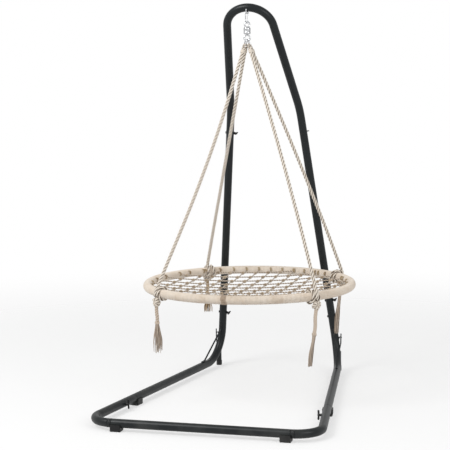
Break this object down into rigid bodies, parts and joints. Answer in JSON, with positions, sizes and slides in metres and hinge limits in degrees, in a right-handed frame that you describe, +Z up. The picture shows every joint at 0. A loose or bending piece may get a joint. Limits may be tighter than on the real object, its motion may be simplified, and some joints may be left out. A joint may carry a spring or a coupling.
{
  "type": "saucer nest swing",
  "caption": "Round rope nest seat hung by ropes, links and a swivel from a free-standing bent steel tube stand with an open base and one arch.",
  "frame": {"origin": "on the floor, under the centre of the whole object's box", "axes": "+Z up; -Y towards the open front of the base; +X to the right as seen from the front"},
  "size_m": [1.0338, 1.4446, 1.8279],
  "materials": {
    "powder_coat": "charcoal powder coat, semi-gloss, on steel tube",
    "black_plastic": "moulded black plastic, fine grain",
    "bright_hardware": "bright plated steel, polished",
    "zinc_steel": "plain zinc-plated steel, hidden inside tubes and wrap",
    "cotton_rope": "natural cotton rope and yarn, twisted and braided, matt"
  },
  "bodies": {
    "stand": {"brace_rod_left": "powder_coat", "brace_rod_right": "powder_coat", "brace_screw_left": "black_plastic", "brace_screw_right": "black_plastic", "corner_tube_left": "powder_coat", "corner_tube_right": "powder_coat", "front_foot_left": "black_plastic", "front_foot_right": "black_plastic", "front_tube": "powder_coat", "hanger_loop": "bright_hardware", "leg_cap_left": "black_plastic", "leg_cap_right": "black_plastic", "lower_bolt_left": "black_plastic", "lower_bolt_right": "black_plastic", "lower_sleeve_left": "zinc_steel", "lower_sleeve_right": "zinc_steel", "middle_bolt_left": "black_plastic", "middle_bolt_right": "black_plastic", "rear_bend_left": "powder_coat", "rear_bend_right": "powder_coat", "side_bolt_left": "black_plastic", "side_bolt_right": "black_plastic", "side_foot_left": "black_plastic", "side_foot_right": "black_plastic", "side_sleeve_left": "zinc_steel", "side_sleeve_right": "zinc_steel", "top_arch": "powder_coat", "upper_bolt_left": "black_plastic", "upper_bolt_right": "black_plastic", "upper_sleeve_left": "zinc_steel", "upper_sleeve_right": "zinc_steel", "upright_left": "powder_coat", "upright_right": "powder_coat"},
    "quick_link_body": {"quick_link": "bright_hardware"},
    "swivel_body": {"swivel_housing": "bright_hardware"},
    "seat_body": {"hoop": "zinc_steel", "ring_wrap": "cotton_rope", "rope_front_left": "cotton_rope", "rope_front_right": "cotton_rope", "rope_link_left": "bright_hardware", "rope_link_right": "bright_hardware", "rope_rear_left": "cotton_rope", "rope_rear_right": "cotton_rope", "seat_net": "cotton_rope", "swivel_stem_ring": "bright_hardware", "tassel_front_left": "cotton_rope", "tassel_front_right": "cotton_rope", "tassel_rear_left": "cotton_rope", "tassel_rear_right": "cotton_rope"},
    "lower_wing_knob_left_body": {"lower_wing_knob_left": "black_plastic"},
    "lower_wing_knob_right_body": {"lower_wing_knob_right": "black_plastic"},
    "middle_wing_knob_left_body": {"middle_wing_knob_left": "black_plastic"},
    "middle_wing_knob_right_body": {"middle_wing_knob_right": "black_plastic"},
    "side_wing_knob_left_body": {"side_wing_knob_left": "black_plastic"},
    "side_wing_knob_right_body": {"side_wing_knob_right": "black_plastic"},
    "upper_wing_knob_left_body": {"upper_wing_knob_left": "black_plastic"},
    "upper_wing_knob_right_body": {"upper_wing_knob_right": "black_plastic"}
  },
  "joints": [
    {"name": "swing_fore_aft", "type": "hinge", "parent": "stand", "child": "quick_link_body", "pos_m": [0, 0.13421, 1.78683], "axis": [1, 0, 0], "range_deg": [-30, 0.5]},
    {"name": "swing_sideways", "type": "hinge", "parent": "quick_link_body", "child": "swivel_body", "pos_m": [0, 0.13421, 1.74423], "axis": [0, 1, 0], "range_deg": [-1, 1]},
    {"name": "seat_spin", "type": "hinge", "parent": "swivel_body", "child": "seat_body", "pos_m": [0, 0.13421, 1.69], "axis": [0, 0, 1], "continuous": true},
    {"name": "lower_wing_knob_left_turn", "type": "hinge", "parent": "stand", "child": "lower_wing_knob_left_body", "pos_m": [-0.28533, 0.68197, 0.28282], "axis": [-0.9945, -0.021, 0.1023], "continuous": true},
    {"name": "lower_wing_knob_right_turn", "type": "hinge", "parent": "stand", "child": "lower_wing_knob_right_body", "pos_m": [0.28533, 0.68197, 0.28282], "axis": [-0.9945, 0.021, -0.1023], "continuous": true},
    {"name": "middle_wing_knob_left_turn", "type": "hinge", "parent": "stand", "child": "middle_wing_knob_left_body", "pos_m": [-0.27635, 0.66478, 0.36661], "axis": [-0.9945, -0.021, 0.1023], "continuous": true},
    {"name": "middle_wing_knob_right_turn", "type": "hinge", "parent": "stand", "child": "middle_wing_knob_right_body", "pos_m": [0.27635, 0.66478, 0.36661], "axis": [-0.9945, 0.021, -0.1023], "continuous": true},
    {"name": "side_wing_knob_left_turn", "type": "hinge", "parent": "stand", "child": "side_wing_knob_left_body", "pos_m": [-0.46669, -0.35895, 0.034], "axis": [-0.9901, 0.1403, 0], "continuous": true},
    {"name": "side_wing_knob_right_turn", "type": "hinge", "parent": "stand", "child": "side_wing_knob_right_body", "pos_m": [0.46669, -0.35895, 0.034], "axis": [0.9901, 0.1403, 0], "continuous": true},
    {"name": "upper_wing_knob_left_turn", "type": "hinge", "parent": "stand", "child": "upper_wing_knob_left_body", "pos_m": [-0.18534, 0.49061, 1.21587], "axis": [-0.9945, -0.021, 0.1023], "continuous": true},
    {"name": "upper_wing_knob_right_turn", "type": "hinge", "parent": "stand", "child": "upper_wing_knob_right_body", "pos_m": [0.18534, 0.49061, 1.21587], "axis": [0, -0.9796, -0.2009], "continuous": true}
  ]
}
